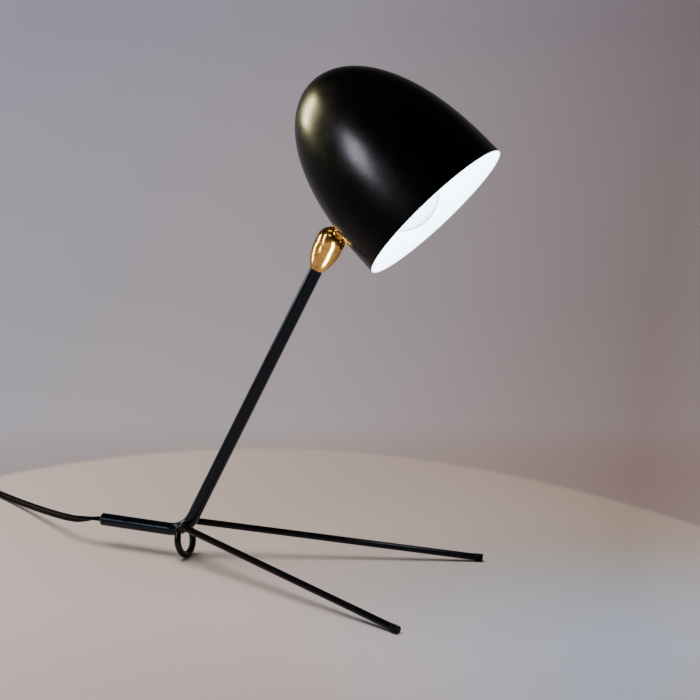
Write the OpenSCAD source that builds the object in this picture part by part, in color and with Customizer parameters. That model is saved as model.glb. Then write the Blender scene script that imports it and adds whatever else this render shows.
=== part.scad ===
// Tripod table lamp: bent tube stand on two splayed rod legs and a rod loop foot,
// a brass swivel, a bullet shade with a bulb on an inner bracket, and a flat twin lead
// with an in-line rocker switch, stored in a tied coil, and a two-pin plug.
// Millimetres. The lamp stands on z = 0 and leans towards +X.

/* [Tube] */
// Outside diameter of the stand tube
tube_d = 10; // [9:0.5:12]
// Wall of the stand tube
tube_wall = 1; // [0.6:0.1:1.2]
// Centreline radius of the bend
bend_r = 25; // [22:1:32]
// Height of the rear stub's centreline
tube_z = 21; // [20:0.5:23]
// Rear end of the tube, behind the corner of the bend
stub_len = 74; // [60:1:90]
// Lean of the arm from upright, in degrees
arm_lean = 27.5; // [20:0.5:34]
// Corner of the bend to the ball's centre, along the arm
arm_len = 271; // [230:1:300]

/* [Legs] */
// Diameter of the leg and loop rods
rod_d = 5.3; // [4.6:0.1:5.5]
// Leg tips in front of the corner of the bend
leg_reach = 215.4; // [190:0.2:240]
// Distance between the two leg tips
leg_spread = 169.8; // [140:0.2:200]
// Leg lines cross the loop's plane this far from the middle
shoulder_y = 6.8; // [6.4:0.1:8]
// Height of the rod at the shoulders
shoulder_z = 28; // [27:0.5:30]
// Centreline radius of the loop foot
loop_r = 11.8; // [11.4:0.1:12.6]
// Backward lean of the loop, in degrees
loop_lean = 9; // [0:1:14]
// Bottom of the loop ahead of the corner of the bend
loop_ahead = 1; // [-3:0.1:3]
// Radius of the shoulder bends
shoulder_r = 4.5; // [3.5:0.1:5]
// Length of the rubber tips on the legs
tip_len = 6; // [5:1:24]
// Wall of the rubber tips
tip_wall = 0.4; // [0.4:0.1:0.9]
// Flat worn on the underside of the tips
tip_flat = 0.3; // [0.2:0.1:0.4]
// Radius of the weld beads at the shoulders
weld_r = 3.2; // [2.8:0.1:3.4]

/* [Swivel] */
// Radius of the swivel's dome about the ball
dome_r = 10.8; // [10.4:0.1:11.4]
// Ball's centre above the bottom of the swivel
swivel_drop = 23.9; // [22.5:0.1:26]
// Radius of the swivel at its bottom edge
swivel_foot_r = 5.8; // [5.7:0.1:6.4]
// Straight part of the swivel's side, below the ball's centre
side_drop = 5.5; // [4:0.5:8]
// Ball radius
ball_r = 7.6; // [7.2:0.1:7.8]
// Diameter of the ball's hollow stem
stem_d = 9; // [8.6:0.1:9.4]
// Bore of the ball's stem
stem_bore = 6.8; // [6.6:0.1:7]
// Ball's centre to the outside of the shade
stem_len = 15.6; // [14.5:0.1:18]
// Diameter of the collar under the shade
collar_d = 16; // [14:0.5:20]
// Thickness of the collar
collar_t = 1.6; // [1.2:0.1:2.4]
// Most lean of the stem from the arm, in degrees
slot_angle = 68; // [50:1:70]
// Joint below the ball's centre between dome and cup
seam_drop = 3; // [2.6:0.1:3.4]
// Running clearance of ball and turning joint
run_gap = 0.05; // [0.03:0.01:0.08]

/* [Shade] */
// Outside radius of the shade at its rim
shade_r = 62.5; // [58:0.5:70]
// Depth of the shade, rim to crown
shade_depth = 131; // [124:1:145]
// Fullness of the bullet form
shade_power = 2.4; // [2.2:0.05:2.8]
// Sheet thickness of the shade
shade_wall = 1; // [0.6:0.1:1.4]
// Slope of the shade's axis below level, in degrees
shade_tilt = 42.5; // [34:0.5:60]
// Rim plane to the stem hole, along the shade's axis
stem_back = 41; // [34:1:48]

/* [Holder and bulb] */
// Bulb axis off the shade's axis, towards the stem
bulb_off = 9.5; // [5:0.5:12]
// Radius of the bulb's globe
globe_r = 28.5; // [26:0.5:30]
// Globe's centre to the end of the bulb's glass
globe_reach = 47; // [44:0.5:50]
// Diameter of the bulb's screw cap
cap_d = 26; // [25:0.5:27]
// Length of the bulb's screw cap
cap_len = 22; // [20:0.5:24]
// Outside diameter of the lamp holder
holder_d = 37; // [36:0.5:40]
// End plate of the bracket to the shade's crown
crown_room = 18.5; // [17:0.5:20]
// Length of the lamp holder's sleeve
holder_len = 26.5; // [26:0.5:28]
// Height of the lamp holder's conical back
holder_cone = 7; // [6:0.5:8]
// Sheet thickness of the holder bracket
strap_t = 1.5; // [1.2:0.1:2]
// Width of the holder bracket
strap_w = 14; // [13:0.5:18]
// Diameter of the holder's threaded nipple
nipple_d = 10; // [9:0.5:11]

/* [Lead] */
// Width of the flat lead
lead_w = 6; // [5.4:0.1:6.2]
// Thickness of the flat lead
lead_t = 3; // [2.6:0.1:3.1]
// Step between turns of the coil
coil_pitch = 3.6; // [3.55:0.05:4]
// Smallest radius of the coil
coil_in_r = 23.6; // [23:0.2:28]
// Free gap between the coil's layers
layer_gap = 0.6; // [0.5:0.1:1]
// Thickness of the tie round the coil
tie_t = 0.8; // [0.6:0.1:1.2]
// Width of the tie
tie_w = 8; // [6:0.5:10]

/* [Switch and plug] */
// Length of the in-line switch, without its end blocks
switch_len = 56; // [52:1:64]
// Width of the in-line switch
switch_w = 26; // [24:1:30]
// Height of the in-line switch
switch_h = 16; // [15.6:0.2:18]
// Height of the joint between the switch's two shells
switch_seam = 8; // [7:0.5:9]
// Wall of the switch's shells
switch_wall = 2; // [1.6:0.1:2.2]
// Length of the rocker
rocker_len = 14.4; // [13:0.2:16]
// Width of the rocker
rocker_w = 9.4; // [8:0.2:10]
// Tilt of the rocker from level at each end of its travel
rocker_tilt = 8; // [6:0.5:9]
// Width of the plug's body
plug_w = 35; // [33:0.5:36]
// Length of the plug's body
plug_len = 36; // [34:1:40]
// Thickness of the plug's body
plug_h = 14; // [13.6:0.2:15]
// Diameter of the plug's pins
pin_d = 4; // [4:0.1:4.8]
// Length of the plug's pins outside the body
pin_len = 19; // [18:0.5:19]
// Distance between the plug's pins
pin_gap = 18.6; // [17.5:0.1:19]
// Length of the plug's strain relief
relief_len = 24; // [20:1:34]

/* [Hidden] */
$fn = 64;

// --- helpers -------------------------------------------------------------------------
function unit(v) = v / norm(v);
function clamp01(t) = min(1, max(0, t));
function ease(t) = clamp01(t) * clamp01(t) * (3 - 2 * clamp01(t));
function sum(v, i = 0) = i < len(v) ? v[i] + sum(v, i + 1) : 0;
function run_len(p) = sum([for (i = [1:len(p) - 1]) norm(p[i] - p[i - 1])]);

// places children with their own X, Y and Z along x, y and z at point o
module frame_at(o, x, y, z) {
    multmatrix([
        [x[0], y[0], z[0], o[0]],
        [x[1], y[1], z[1], o[1]],
        [x[2], y[2], z[2], o[2]],
        [0, 0, 0, 1]
    ]) children();
}

// round bar from a to b
module bar(a, b, d) {
    v = b - a;
    side = unit(abs(v[2]) > 0.9 * norm(v) ? cross([0, 1, 0], v) : cross([0, 0, 1], v));
    frame_at(a, side, cross(unit(v), side), unit(v)) cylinder(d = d, h = norm(v));
}

// part of a ring that turns from direction d0 to d1 round the corner c
function turn_of(d0, d1) = acos(d0 * d1);
function turn_run(d0, d1, r) = r * tan(turn_of(d0, d1) / 2);
module elbow(c, d0, d1, r, d) {
    inward = unit(d1 - (d0 * d1) * d0);
    centre = c - turn_run(d0, d1, r) * d0 + r * inward;
    frame_at(centre, -inward, d0, cross(-inward, d0))
        rotate_extrude(angle = turn_of(d0, d1)) translate([r, 0]) circle(d = d);
}

// points on the bend round the corner c, from one straight run to the next
function elbow_points(c, d0, d1, r, n) =
    let(inward = unit(d1 - (d0 * d1) * d0))
    let(centre = c - turn_run(d0, d1, r) * d0 + r * inward)
    [for (i = [0:n]) let(a = turn_of(d0, d1) * i / n) centre + r * (sin(a) * d0 - cos(a) * inward)];

function dir_at(p, i) = unit(p[min(len(p) - 1, i + 1)] - p[max(0, i - 1)]);
// first and last sections stand square to the end directions d0 and d1
function run_dir(p, i, d0, d1) = i == 0 ? d0 : i == len(p) - 1 ? d1 : dir_at(p, i);
// sideways directions carried along a path without twisting
function carried(dirs, side, i = 0) =
    i == len(dirs) ? [] :
    let(s = unit(side - (side * dirs[i]) * dirs[i])) concat([s], carried(dirs, s, i + 1));
function round_ring(c, dir, side, d, n) =
    [for (k = [0:n - 1]) c + d / 2 * (cos(360 * k / n) * side + sin(360 * k / n) * cross(dir, side))];
// walls between two rings that start at points a and b, seen from outside
function ring_wall(a, b, n) = [for (k = [0:n - 1]) let(m = (k + 1) % n)
    each [[a + k, b + k, b + m], [a + k, b + m, a + m]]];

// round rod along a path, hollow where bore is more than 0
module round_tube(p, d, bore, side, d0, d1, n) {
    last = len(p) - 1;
    dirs = [for (i = [0:last]) run_dir(p, i, d0, d1)];
    sides = carried(dirs, side);
    outer = [for (i = [0:last]) each round_ring(p[i], dirs[i], sides[i], d, n)];
    inner = [for (i = [0:last]) each round_ring(p[i], dirs[i], sides[i], bore, n)];
    far = (last + 1) * n;
    outside = [for (i = [0:last - 1]) each ring_wall(i * n, (i + 1) * n, n)];
    inside = [for (i = [0:last - 1]) each ring_wall(far + (i + 1) * n, far + i * n, n)];
    rims = concat(ring_wall(far, 0, n), ring_wall(last * n, far + last * n, n));
    discs = [for (k = [1:n - 2]) each [[0, k, k + 1], [last * n, last * n + k + 1, last * n + k]]];
    if (bore > 0) polyhedron(points = concat(outer, inner), faces = concat(outside, inside, rims));
    else polyhedron(points = outer, faces = concat(outside, discs));
}

// flat oval, as wide as w along Y and as thick as t along X
module oval(w, t) {
    square([t, w - t], center = true);
    for (s = [-1, 1]) translate([0, s * (w - t) / 2]) circle(d = t);
}

// --- places --------------------------------------------------------------------------
bush_lip = 1.2;
arm_dir = [sin(arm_lean), 0, cos(arm_lean)];
bend_turn = 90 - arm_lean;
bend_run = bend_r * tan(bend_turn / 2);

// outside radius of the shade at distance a behind its rim, and the wall's slope there
function bullet(a, r, depth) = r * sqrt(max(0, 1 - pow(max(a, 0) / depth, shade_power)));
function shade_out(a) = bullet(a, shade_r, shade_depth);
function shade_in(a) = bullet(a, shade_r - shade_wall, shade_depth - shade_wall);
wall_slope = atan((shade_out(stem_back - 1) - shade_out(stem_back + 1)) / 2);
stem_lean = shade_tilt + wall_slope;
stem_dir = [sin(stem_lean), 0, cos(stem_lean)];
shade_x = [cos(shade_tilt), 0, -sin(shade_tilt)];
shade_z = [sin(shade_tilt), 0, cos(shade_tilt)];

// ball and rim centre measured from the corner of the bend
ball_rel = arm_len * arm_dir;
rim_rel = ball_rel + stem_len * stem_dir + stem_back * shade_x + shade_out(stem_back) * shade_z;
front_x = (rim_rel + shade_r * shade_z)[0];
back_x = -stub_len - bush_lip;
corner = [-(front_x + back_x) / 2, 0, tube_z];
ball = corner + ball_rel;
rim = corner + rim_rel;

module at_arm() { translate(ball) rotate([0, arm_lean, 0]) children(); }
module at_stem() { translate(ball) rotate([0, stem_lean, 0]) children(); }
module at_shade() { translate(rim) rotate([0, shade_tilt, 0]) children(); }
// Z runs from the rim plane into the shade along the bulb's axis
module at_bulb() { at_shade() translate([0, 0, -bulb_off]) rotate([0, -90, 0]) children(); }

// --- stand ---------------------------------------------------------------------------
tube_in = tube_d - 2 * tube_wall;
spigot_d = tube_in - 0.1;
// the tube and the ledge over it reach this far up from the bottom of the swivel
tube_rise = 7.9;
ledge_rise = 6.9;
tube_top = swivel_drop - tube_rise;
rear_end = corner - [stub_len, 0, 0];
bend_start = corner - [bend_run, 0, 0];
bend_end = corner + bend_run * arm_dir;
arm_top = ball - tube_top * arm_dir;

// a round bar along the stand tube, from x0 behind the corner to h below the ball
module tube_run(d, x0, h) {
    bar(corner - [x0, 0, 0], bend_start, d);
    elbow(corner, [1, 0, 0], arm_dir, bend_r, d);
    bar(bend_end, ball - h * arm_dir, d);
}

tube_sides = 32;
bend_steps = 14;
tube_path = concat([rear_end], elbow_points(corner, [1, 0, 0], arm_dir, bend_r, bend_steps), [arm_top]);
module stem_tube() {
    color("#18181a") round_tube(tube_path, tube_d, tube_in, [0, 1, 0], [1, 0, 0], arm_dir, tube_sides);
}

// loop foot, in a plane that leans back through its lowest point
loop_up = [-sin(loop_lean), 0, cos(loop_lean)];
loop_low = corner + [loop_ahead, 0, rod_d / 2 - tube_z];
loop_mid = loop_low + loop_r * loop_up;
shoulder_up = (shoulder_z - rod_d / 2) / cos(loop_lean);
function shoulder(s) = loop_low + shoulder_up * loop_up + [0, s * shoulder_y, 0];
function leg_tip(s) = [corner[0] + leg_reach, s * leg_spread / 2, rod_d / 2 + tip_wall - tip_flat];
function leg_dir(s) = unit(leg_tip(s) - shoulder(s));

// where a straight run from the shoulder touches the loop's circle
reach_up = shoulder_up - loop_r;
reach = norm([shoulder_y, reach_up]);
loop_open = atan2(shoulder_y, reach_up) + acos(loop_r / reach);
function loop_point(s, a) = loop_mid + loop_r * (cos(a) * loop_up + [0, s * sin(a), 0]);
function rise_dir(s) = unit(shoulder(s) - loop_point(s, loop_open));
function leg_start(s) =
    shoulder(s) + turn_run(rise_dir(s), leg_dir(s), shoulder_r) * leg_dir(s);

module leg(s) { color("#141416") bar(leg_start(s), leg_tip(s), rod_d); }
module leg_left() { leg(1); }
module leg_right() { leg(-1); }

module shoulder_rod(s) {
    foot = loop_point(s, loop_open);
    run = turn_run(rise_dir(s), leg_dir(s), shoulder_r);
    bar(foot, shoulder(s) - run * rise_dir(s), rod_d);
    elbow(shoulder(s), rise_dir(s), leg_dir(s), shoulder_r, rod_d);
}

rod_sides = 20;
shoulder_steps = 9;
loop_steps = 30;
function shoulder_points(s) =
    elbow_points(shoulder(s), rise_dir(s), leg_dir(s), shoulder_r, shoulder_steps);
function backwards(p) = [for (i = [len(p) - 1:-1:0]) p[i]];
loop_path = concat(
    backwards(shoulder_points(-1)),
    [for (i = [0:loop_steps]) loop_point(1, loop_open + (360 - 2 * loop_open) * (1 - i / loop_steps))],
    shoulder_points(1)
);
module foot_loop() {
    color("#141416") round_tube(loop_path, rod_d, 0, [0, 0, 1], -leg_dir(-1), leg_dir(1), rod_sides);
}

module weld_beads() {
    color("#1b1b1d") for (s = [-1, 1]) difference() {
        translate(shoulder(s) + [0.5, -s * 0.6, -2]) sphere(r = weld_r);
        tube_run(tube_d, stub_len, tube_top);
        shoulder_rod(s);
        leg(s);
    }
}

tip_end = 0.8;
module foot_tip(s) {
    d = leg_dir(s);
    color("#0d0d0d") difference() {
        bar(leg_tip(s) - (tip_len - tip_end) * d, leg_tip(s) + tip_end * d, rod_d + 2 * tip_wall);
        bar(leg_start(s), leg_tip(s), rod_d);
        translate([leg_tip(s)[0] - 40, leg_tip(s)[1] - 20, -20]) cube([60, 40, 20]);
    }
}
module foot_tip_left() { foot_tip(1); }
module foot_tip_right() { foot_tip(-1); }

lead_slack = 0.3;
bush_len = 8;
module rear_bush() {
    color("#101010") translate(rear_end) rotate([0, -90, 0]) difference() {
        union() {
            cylinder(d = tube_d, h = bush_lip);
            translate([0, 0, -bush_len]) cylinder(d = spigot_d, h = bush_len);
        }
        translate([0, 0, -bush_len - 1]) linear_extrude(bush_len + 2 + bush_lip) oval(lead_w + lead_slack, lead_t + lead_slack);
    }
}

// flat lead inside the tube, from the bush's face to just below the ball
inner_top = 9.6;
inner_path = concat([rear_end - [bush_lip, 0, 0]],
    elbow_points(corner, [1, 0, 0], arm_dir, bend_r, bend_steps), [ball - inner_top * arm_dir]);
module inner_lead() {
    color("#1c1c1c")
        flat_tube(inner_path, [for (p = inner_path) 90], [1, 0, 0], arm_dir, 8);
}

// --- swivel, heights measured up the arm from the ball's centre ------------------------
ledge_z = -swivel_drop + ledge_rise;
flange_z = -tube_top;
flange_t = 1.8;
flange_r = tube_d / 2 + 1.3;
well_top = flange_z + flange_t + 0.6;
seat_low = well_top + 3.2;
cavity_r = ball_r + 0.1;
nipple_in = 9;

module tube_nipple() {
    color("silver") at_arm() difference() {
        union() {
            translate([0, 0, flange_z]) cylinder(r = flange_r, h = flange_t);
            translate([0, 0, flange_z - nipple_in]) cylinder(d = spigot_d, h = nipple_in);
        }
        translate([0, 0, flange_z - nipple_in - 1]) cylinder(d = lead_w + 0.4, h = nipple_in + flange_t + 2);
    }
}

module turn_washer() {
    color("ivory") at_arm() translate([0, 0, ledge_z]) difference() {
        cylinder(r = flange_r, h = flange_z - ledge_z);
        translate([0, 0, -1]) cylinder(r = tube_d / 2 + run_gap, h = 3);
    }
}

// outside of the cup: straight down from the dome, then an arc in to the bottom edge
belly = dome_r - swivel_foot_r;
belly_h = swivel_drop - side_drop;
belly_r = (belly * belly + belly_h * belly_h) / (2 * belly);
function cup_r(h) = dome_r - belly_r + sqrt(belly_r * belly_r - h * h);
cup_steps = 24;
function cup_point(i) = let(h = belly_h * (1 - i / cup_steps)) [cup_r(h), -side_drop - h];
module swivel_cup() {
    outline = [for (i = [0:cup_steps]) cup_point(i)];
    color("#c9a24a") at_arm() difference() {
        rotate_extrude($fn = 96)
            polygon(concat([[0, -swivel_drop]], outline, [[dome_r, -seam_drop], [0, -seam_drop]]));
        translate([0, 0, -swivel_drop - 1]) cylinder(r = tube_d / 2 + run_gap, h = 20);
        translate([0, 0, ledge_z]) cylinder(r = flange_r + 0.15, h = 20);
        translate([0, 0, well_top]) cylinder(r = cavity_r, h = 20);
    }
}

// the neck's way through the dome as the ball leans
neck_gap = 0.3;
slot_r = stem_d / 2 + neck_gap;
slot_reach = 16;
module lean_slot() {
    steps = 12;
    arc = [for (i = [0:steps]) slot_reach * [sin(slot_angle * i / steps), cos(slot_angle * i / steps)]];
    rotate([90, 0, 0]) translate([0, 0, -slot_r])
        linear_extrude(2 * slot_r) polygon(concat([[0, 0]], arc));
    for (a = [0, slot_angle]) rotate([0, a, 0]) cylinder(r = slot_r, h = slot_reach);
}

dome_steps = 20;
seat_r = ball_r + run_gap;
// the seat's chords stay outside the ball
chord_r = seat_r / cos(45 / dome_steps);
module swivel_dome() {
    outer = [for (i = [0:dome_steps]) dome_r * [sin(90 * i / dome_steps), cos(90 * i / dome_steps)]];
    inner = [for (i = [0:dome_steps]) chord_r * [cos(90 * i / dome_steps), sin(90 * i / dome_steps)]];
    color("#c9a24a") at_arm() difference() {
        rotate_extrude($fn = 96) polygon(concat(
            outer, [[dome_r, -seam_drop], [chord_r, -seam_drop]], inner
        ));
        lean_slot();
    }
}

spring_t = 0.7;
module disc_springs() {
    rise = (seat_low - well_top) / 2 - spring_t - 0.05;
    outer = ball_r - 0.3;
    inner = lead_w / 2 + 1.2;
    module disc() {
        rotate_extrude() polygon([
            [inner, rise], [outer, 0], [outer, spring_t], [inner, rise + spring_t]
        ]);
    }
    color("silver") at_arm() {
        translate([0, 0, well_top]) disc();
        translate([0, 0, seat_low]) mirror([0, 0, 1]) disc();
    }
}

module friction_seat() {
    color("ivory") at_arm() difference() {
        translate([0, 0, seat_low]) cylinder(r = ball_r, h = -seat_low - seam_drop - 0.5);
        translate([0, 0, seat_low - 1]) cylinder(r = lead_w / 2 + 1.2, h = 20);
        sphere(r = ball_r + run_gap);
    }
}

// --- ball, stem and head ---------------------------------------------------------------
nut_t = 3;
foot_t = strap_t;
stem_fit = stem_d + 2 * run_gap;
stem_end = stem_len + shade_wall + foot_t + nut_t + 1.5;
collar_low = stem_len - collar_t;

module swivel_ball() {
    color("#b8923e") at_stem() difference() {
        union() {
            sphere(r = ball_r);
            cylinder(d = stem_d, h = stem_end);
        }
        translate([0, 0, -ball_r - 1]) cylinder(d = stem_bore, h = ball_r + stem_end + 2);
    }
}

// solid inside the shade's outer face, grown by g
shade_steps = 48;
function shade_a(i, depth) = depth * sin(90 * i / shade_steps);
function shade_line(r, depth) =
    [for (i = [0:shade_steps]) [bullet(shade_a(i, depth), r, depth), shade_a(i, depth)]];
module shade_core(r, depth) {
    rotate([0, -90, 0]) rotate_extrude($fn = 128) polygon(concat([[0, 0]], shade_line(r, depth)));
}

module stem_collar() {
    color("#c9a24a") difference() {
        at_stem() translate([0, 0, collar_low]) difference() {
            cylinder(d = collar_d, h = collar_t + 3);
            translate([0, 0, -1]) cylinder(d = stem_fit, h = collar_t + 5);
        }
        at_shade() shade_core(shade_r, shade_depth);
    }
}

hole_gap = 0.1;
module shade() {
    color("#151515") difference() {
        at_shade() difference() {
            shade_core(shade_r, shade_depth);
            shade_core(shade_r - shade_wall, shade_depth - shade_wall);
            rotate([0, 90, 0]) cylinder(r = shade_r + 5, h = 5);
        }
        at_stem() cylinder(r = stem_d / 2 + hole_gap, h = stem_end + 10);
    }
}

// bracket: a foot on the inside of the wall, a straight strap and an end plate
foot_ahead = 9;
foot_behind = 17;
foot_front = stem_back - foot_ahead;
foot_back = stem_back + foot_behind;
// distances behind the rim plane: end plate, holder and bulb follow the crown
plate_a = shade_depth - crown_room;
holder_back_a = plate_a - holder_cone;
holder_front = holder_back_a - holder_len;
glass_end = holder_front - 3;
globe_back = glass_end - globe_reach;
plate_r = 11;
// where the strap meets the end plate, kept inside the shade
strap_in = shade_in(plate_a + strap_t) - 5.5;
strap_out = shade_in(foot_back) - strap_t;
module holder_bracket() {
    r_in = shade_r - shade_wall;
    d_in = shade_depth - shade_wall;
    color("silver") difference() {
        at_shade() {
            intersection() {
                difference() {
                    shade_core(r_in, d_in);
                    shade_core(r_in - strap_t, d_in - strap_t);
                }
                translate([-foot_back, -strap_w / 2, -shade_r])
                    cube([foot_back - foot_front, strap_w, shade_r / 2]);
            }
            translate([0, strap_w / 2, 0]) rotate([90, 0, 0]) linear_extrude(strap_w) polygon([
                [-foot_back + 0.8, -strap_out], [-foot_back, -strap_out - strap_t + 0.5],
                [-plate_a - strap_t, -strap_in - strap_t], [-plate_a - strap_t, -bulb_off],
                [-plate_a, -bulb_off], [-plate_a, -strap_in + 0.2]
            ]);
        }
        at_bulb() translate([0, 0, plate_a - 1]) cylinder(d = nipple_d, h = strap_t + 2);
        at_stem() cylinder(r = stem_d / 2 + hole_gap, h = stem_end + 10);
    }
    color("silver") at_bulb() translate([0, 0, plate_a]) difference() {
        cylinder(r = plate_r, h = strap_t);
        translate([0, 0, -1]) cylinder(d = nipple_d, h = strap_t + 2);
        translate([0, -strap_w / 2, -1]) cube([plate_r + 1, strap_w, strap_t + 2]);
    }
}

module stem_nut() {
    low = stem_len + shade_wall + foot_t + 0.15;
    color("silver") difference() {
        at_stem() translate([0, 0, low]) difference() {
            cylinder(d = 16, h = nut_t, $fn = 6);
            translate([0, 0, -1]) cylinder(d = stem_fit, h = nut_t + 2);
        }
        at_shade() difference() {
            shade_core(shade_r, shade_depth);
            shade_core(shade_r - shade_wall - strap_t, shade_depth - shade_wall - strap_t);
        }
    }
}

module holder_nipple() {
    color("silver") at_bulb() translate([0, 0, plate_a - 5]) difference() {
        cylinder(d = nipple_d, h = 5 + strap_t + 6);
        translate([0, 0, -1]) cylinder(d = nipple_d - 3, h = 20);
    }
}

module holder_nut() {
    color("silver") at_bulb() translate([0, 0, plate_a + strap_t]) difference() {
        cylinder(d = 16, h = 3.5, $fn = 6);
        translate([0, 0, -1]) cylinder(d = nipple_d, h = 6);
    }
}

sleeve_wall = 3.4;
shell_wall = 0.5;
shell_front = holder_front + 2;
core_t = 2.5;
cap_end = glass_end + cap_len;
module holder_sleeve() {
    color("white") at_bulb() translate([0, 0, holder_front]) difference() {
        cylinder(d = holder_d, h = holder_len);
        translate([0, 0, -1]) cylinder(d = holder_d - 2 * sleeve_wall, h = holder_len + 2);
    }
}

module holder_back() {
    color("white") at_bulb() translate([0, 0, holder_back_a]) difference() {
        cylinder(d1 = holder_d, d2 = 2 * plate_r + 2, h = holder_cone);
        translate([0, 0, -0.01])
            cylinder(d1 = holder_d - 2 * sleeve_wall, d2 = nipple_d + 4, h = holder_cone - 2.5);
        translate([0, 0, -1]) cylinder(d = nipple_d, h = holder_cone + 2);
    }
}

module thread_shell() {
    outer = holder_d - 2 * sleeve_wall;
    color("#b5b5b5") at_bulb() translate([0, 0, shell_front]) difference() {
        cylinder(d = outer, h = holder_back_a - core_t - shell_front);
        translate([0, 0, -1]) cylinder(d = outer - 2 * shell_wall, h = holder_len);
    }
}

module holder_core() {
    color("ivory") at_bulb() translate([0, 0, holder_back_a - core_t])
        cylinder(d = holder_d - 2 * sleeve_wall, h = core_t);
}

button_h = 4;
module centre_contact() {
    gap = holder_back_a - core_t - cap_end - button_h;
    color("#c9a24a") at_bulb() translate([-3, -2, cap_end + button_h]) cube([6, 4, gap]);
}

// glass: globe, then a smooth neck down to the cap
glass_t = 1;
neck_r = cap_d / 2 - 0.6;
globe_turn = 130;
neck_steps = 12;
function neck_at(t) =
    let(p = [globe_r * sin(globe_turn), globe_back - globe_r * cos(globe_turn)])
    let(q = p + (glass_end - p[1]) * 0.45 * [cos(globe_turn), sin(globe_turn)])
    let(e = [neck_r, glass_end])
    let(h = e - [0, (glass_end - p[1]) * 0.35])
    pow(1 - t, 3) * p + 3 * pow(1 - t, 2) * t * q + 3 * (1 - t) * t * t * h + t * t * t * e;
// outline of the glass, drawn in from the outside by t
function globe_line(t) =
    [for (i = [0:2:globe_turn]) [(globe_r - t) * sin(i), globe_back - (globe_r - t) * cos(i)]];
function neck_line(t) = [for (i = [1:neck_steps]) neck_at(i / neck_steps) - [t, 0]];
module bulb_globe() {
    inside = concat(globe_line(glass_t), neck_line(glass_t));
    color("#f4f6ff") at_bulb() rotate_extrude($fn = 96)
        polygon(concat(globe_line(0), neck_line(0), backwards(inside)));
}

thread_pitch = 3.6;
thread_steps = 12;
cap_bore = cap_d / 2 - 1.7;
module bulb_cap() {
    waves = [for (i = [0:3 * thread_steps]) [
        cap_d / 2 - 0.45 + 0.45 * cos(360 * i / thread_steps),
        glass_end + 5 + thread_pitch * i / thread_steps
    ]];
    color("#c8c8c8") at_bulb() rotate_extrude() polygon(concat(
        [[cap_bore, glass_end], [cap_d / 2, glass_end]], waves,
        [[cap_d / 2 - 3.5, cap_end], [cap_d / 2 - 4.7, cap_end], [cap_bore, cap_end - 6]]
    ));
}

module bulb_insulator() {
    color("#202020") at_bulb() translate([0, 0, cap_end]) {
        cylinder(d1 = cap_d - 7, d2 = 9, h = button_h - 1);
        translate([0, 0, button_h - 1]) cylinder(d = 8, h = 1);
    }
}

// --- swept tubes ---------------------------------------------------------------------
// smooth point at t between p[i] and p[i + 1]
function at_index(p, i) = p[min(len(p) - 1, max(0, i))];
function smooth_point(p, i, t) =
    let(a = at_index(p, i - 1), b = p[i], c = at_index(p, i + 1), d = at_index(p, i + 2))
    0.5 * ((2 * b) + (c - a) * t + (2 * a - 5 * b + 4 * c - d) * t * t
        + (3 * b - a - 3 * c + d) * t * t * t);
function smooth_run(p, k) = concat(
    [for (i = [0:len(p) - 2]) for (j = [0:k - 1]) smooth_point(p, i, j / k)], [p[len(p) - 1]]);

// cross-section of the flat lead, turned by roll from standing on edge
function flat_ring(c, dir, roll, w, t, sides) =
    let(side = unit(cross([0, 0, 1], dir)), up = cross(dir, side))
    let(wide = cos(roll) * up + sin(roll) * side, thin = cross(dir, wide))
    [for (k = [0:sides - 1])
        let(a = 360 * (k + 0.5) / sides)
        c + w / 2 * cos(a) / cos(180 / sides) * wide + t / 2 * sin(a) / cos(180 / sides) * thin];

module flat_tube(p, roll, d0, d1, sides) {
    n = len(p);
    rings = [for (i = [0:n - 1]) each
        flat_ring(p[i], run_dir(p, i, d0, d1), roll[i], lead_w, lead_t, sides)];
    walls = [for (i = [0:n - 2]) each ring_wall(i * sides, (i + 1) * sides, sides)];
    caps = [for (k = [1:sides - 2]) each
        [[0, k, k + 1], [(n - 1) * sides, (n - 1) * sides + k + 1, (n - 1) * sides + k]]];
    polyhedron(points = rings, faces = concat(walls, caps));
}

// lead inside the head: up the stem, back beside the strap and into the holder's back,
// in the shade's own frame
stem_in_shade = [sin(wall_slope), 0, cos(wall_slope)];
function on_stem(h) = [-stem_back, 0, -shade_out(stem_back)] + (h - stem_len) * stem_in_shade;
// beside the strap, at share t of the way from the stem to the end plate and h under the bulb's axis
function on_strap(t, y, h) = [-stem_back - t * (plate_a - stem_back), y, -bulb_off - h];
head_route = [
    on_stem(-5.5), on_stem(2), on_stem(10), on_stem(18), on_stem(24),
    on_strap(0.02, 1.5, 36.5), on_strap(0.11, 5, 29), on_strap(0.24, 9, 25), on_strap(0.39, 11.5, 23.5),
    on_strap(0.55, 12, 23), on_strap(0.7, 11.5, 22), on_strap(0.825, 11.3, 21.5),
    on_strap(0.916, 10.8, 20.1), on_strap(0.955, 8.5, 11.3)
];
module head_lead() {
    run = smooth_run(head_route, 2);
    last = len(head_route) - 1;
    d1 = unit(head_route[last] - head_route[last - 1]);
    flip = [for (p = run) 90];
    color("#1c1c1c") at_shade() flat_tube(run, flip, stem_in_shade, d1, 8);
}

// --- lead on the floor -----------------------------------------------------------------
lead_z = lead_w / 2;
coil_z = lead_z + tie_t + 0.2;
layer_step = lead_w + layer_gap;
switch_port = 7.5;
port_len = 3;
exit_point = rear_end - [bush_lip, 0, 0];
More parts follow.
